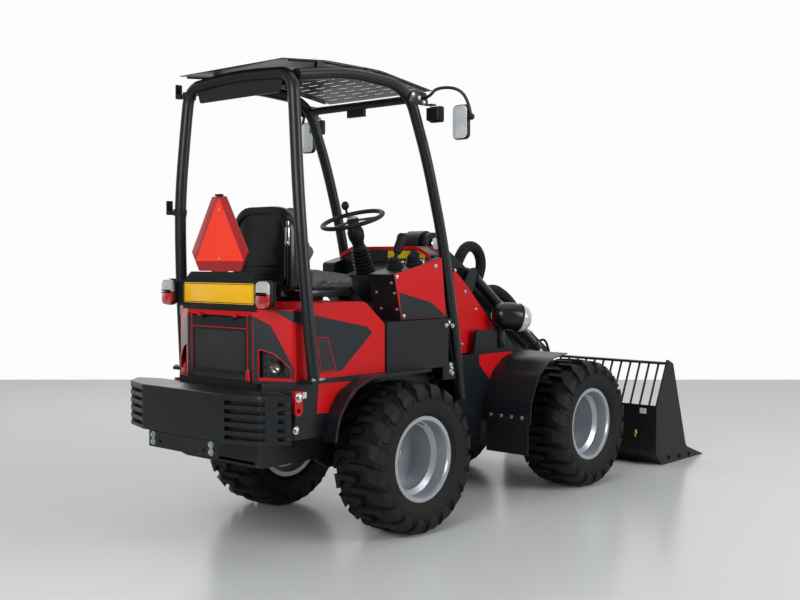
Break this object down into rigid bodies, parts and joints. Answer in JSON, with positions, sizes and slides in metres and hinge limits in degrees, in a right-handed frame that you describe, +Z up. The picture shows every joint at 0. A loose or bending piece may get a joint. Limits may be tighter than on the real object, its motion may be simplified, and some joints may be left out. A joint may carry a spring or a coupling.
{
  "type": "compact articulated wheel loader with canopy and bucket",
  "caption": "Compact articulated wheel loader with open canopy, single dog-leg boom, barred bucket, finned counterweight and wide lugged tyres.",
  "frame": {"origin": "on the ground, under the middle of the overall length", "axes": "+X forward to the bucket, +Y to the driver's left, +Z up"},
  "size_m": [3.914, 1.268, 2.246],
  "materials": {
    "anthracite": "satin powder coat",
    "loader_red": "gloss powder coat",
    "engine_grey": "cast",
    "black_plastic": "moulded, matt",
    "bare_steel": "bare steel",
    "rubber": "matt rubber",
    "seat_vinyl": "matt vinyl",
    "plate_yellow": "reflective sheet",
    "sign_orange": "fluorescent sheet",
    "lamp_lens": "clear and red lens",
    "bucket_black": "satin paint",
    "chrome": "ground chrome",
    "tyre": "rubber",
    "rim_silver": "silver paint"
  },
  "bodies": {
    "rear_half": {"rear_frame": "anthracite", "rear_axle": "anthracite", "counterweight": "anthracite", "tow_plate": "anthracite", "tow_shackles": "loader_red", "engine_block": "engine_grey", "engine_hood": "loader_red", "exhaust_pipe": "bare_steel", "hood_latches": "rubber", "rear_fenders": "anthracite", "operator_tub": "anthracite", "dashboard": "black_plastic", "steering_column": "rubber", "operator_controls": "black_plastic", "seat_frame": "black_plastic", "seat_cushion": "seat_vinyl", "seat_backrest": "seat_vinyl", "plate_carrier": "black_plastic", "number_plate": "plate_yellow", "slow_triangle": "sign_orange", "tail_lamps": "lamp_lens", "canopy_rear_frame": "anthracite", "canopy_side_hoops": "anthracite", "canopy_front_beam": "anthracite", "roof_panel": "anthracite", "work_lamps": "black_plastic", "mirrors": "black_plastic", "steer_cylinder_barrel": "anthracite"},
    "front_half": {"front_frame": "anthracite", "front_axle": "anthracite", "loader_tower": "anthracite", "tower_covers": "loader_red", "front_fenders": "anthracite", "mud_flaps": "rubber", "headlights": "black_plastic"},
    "boom_arm": {"boom": "anthracite", "rear_hose": "rubber", "front_hose": "rubber"},
    "bucket": {"coupler": "anthracite", "bucket_shell": "bucket_black", "bucket_guard": "bucket_black"},
    "grille_door": {"grille_door": "black_plastic"},
    "steering_wheel": {"steering_wheel": "black_plastic"},
    "lift_barrel": {"lift_cylinder_barrel": "anthracite"},
    "lift_rod": {"lift_cylinder_rod": "chrome"},
    "tilt_barrel": {"tilt_cylinder_barrel": "anthracite"},
    "tilt_rod": {"tilt_cylinder_rod": "chrome"},
    "steer_rod": {"steer_cylinder_rod": "chrome"},
    "rear_left_wheel": {"rear_left_tyre": "tyre", "rear_left_rim": "rim_silver"},
    "rear_right_wheel": {"rear_right_tyre": "tyre", "rear_right_rim": "rim_silver"},
    "front_left_wheel": {"front_left_tyre": "tyre", "front_left_rim": "rim_silver"},
    "front_right_wheel": {"front_right_tyre": "tyre", "front_right_rim": "rim_silver"}
  },
  "joints": [
    {"name": "articulation", "type": "hinge", "parent": "rear_half", "child": "front_half", "pos_m": [-0.2285, 0, 0.52], "axis": [0, 0, 1], "range_deg": [-38, 38]},
    {"name": "boom_lift", "type": "hinge", "parent": "front_half", "child": "boom_arm", "pos_m": [-0.32, 0, 1.414], "axis": [0, -1, 0], "range_deg": [0, 80]},
    {"name": "bucket_tilt", "type": "hinge", "parent": "boom_arm", "child": "bucket", "pos_m": [1.18, 0, 0.22], "axis": [0, -1, 0], "range_deg": [-120, 30]},
    {"name": "grille_door_hinge", "type": "hinge", "parent": "rear_half", "child": "grille_door", "pos_m": [-1.75, 0, 1.07], "axis": [0, 1, 0], "range_deg": [0, 75]},
    {"name": "steering_wheel_turn", "type": "hinge", "parent": "rear_half", "child": "steering_wheel", "pos_m": [-0.85, 0, 1.535], "axis": [-0.3193, 0, 0.9476], "continuous": true},
    {"name": "lift_cylinder_swing", "type": "hinge", "parent": "front_half", "child": "lift_barrel", "pos_m": [0.023, 0, 0.42], "axis": [0, -1, 0], "range_deg": [-12.46, 0.06]},
    {"name": "lift_cylinder_stroke", "type": "slide", "parent": "lift_barrel", "child": "lift_rod", "axis": [-0.2438, 0, 0.9698], "range_m": [-0.0005, 0.37762]},
    {"name": "tilt_cylinder_swing", "type": "hinge", "parent": "boom_arm", "child": "tilt_barrel", "pos_m": [0, 0, 1.25], "axis": [0, -1, 0], "range_deg": [-0.4509, 0.1558]},
    {"name": "tilt_cylinder_stroke", "type": "slide", "parent": "tilt_barrel", "child": "tilt_rod", "axis": [0.8177, 0, -0.5757], "range_m": [-0.08159, 0.32488]},
    {"name": "steer_cylinder_stroke", "type": "slide", "parent": "rear_half", "child": "steer_rod", "axis": [1, 0, 0], "range_m": [-0.06682, 0.06682]},
    {"name": "rear_left_wheel_spin", "type": "hinge", "parent": "rear_half", "child": "rear_left_wheel", "pos_m": [-0.98, 0.475, 0.3685], "axis": [0, 1, 0], "continuous": true},
    {"name": "rear_right_wheel_spin", "type": "hinge", "parent": "rear_half", "child": "rear_right_wheel", "pos_m": [-0.98, -0.475, 0.3685], "axis": [0, 1, 0], "continuous": true},
    {"name": "front_left_wheel_spin", "type": "hinge", "parent": "front_half", "child": "front_left_wheel", "pos_m": [0.523, 0.475, 0.3685], "axis": [0, 1, 0], "continuous": true},
    {"name": "front_right_wheel_spin", "type": "hinge", "parent": "front_half", "child": "front_right_wheel", "pos_m": [0.523, -0.475, 0.3685], "axis": [0, 1, 0], "continuous": true}
  ],
  "couplings": [
    {"joint": "lift_cylinder_swing", "follows": "boom_lift", "ratio": -0.15507},
    {"joint": "lift_cylinder_stroke", "follows": "boom_lift", "m_per_rad": 0.27009},
    {"joint": "tilt_cylinder_swing", "follows": "bucket_tilt", "ratio": 0.003282},
    {"joint": "tilt_cylinder_stroke", "follows": "bucket_tilt", "m_per_rad": -0.15488},
    {"joint": "steer_cylinder_stroke", "follows": "articulation", "m_per_rad": 0.1}
  ]
}
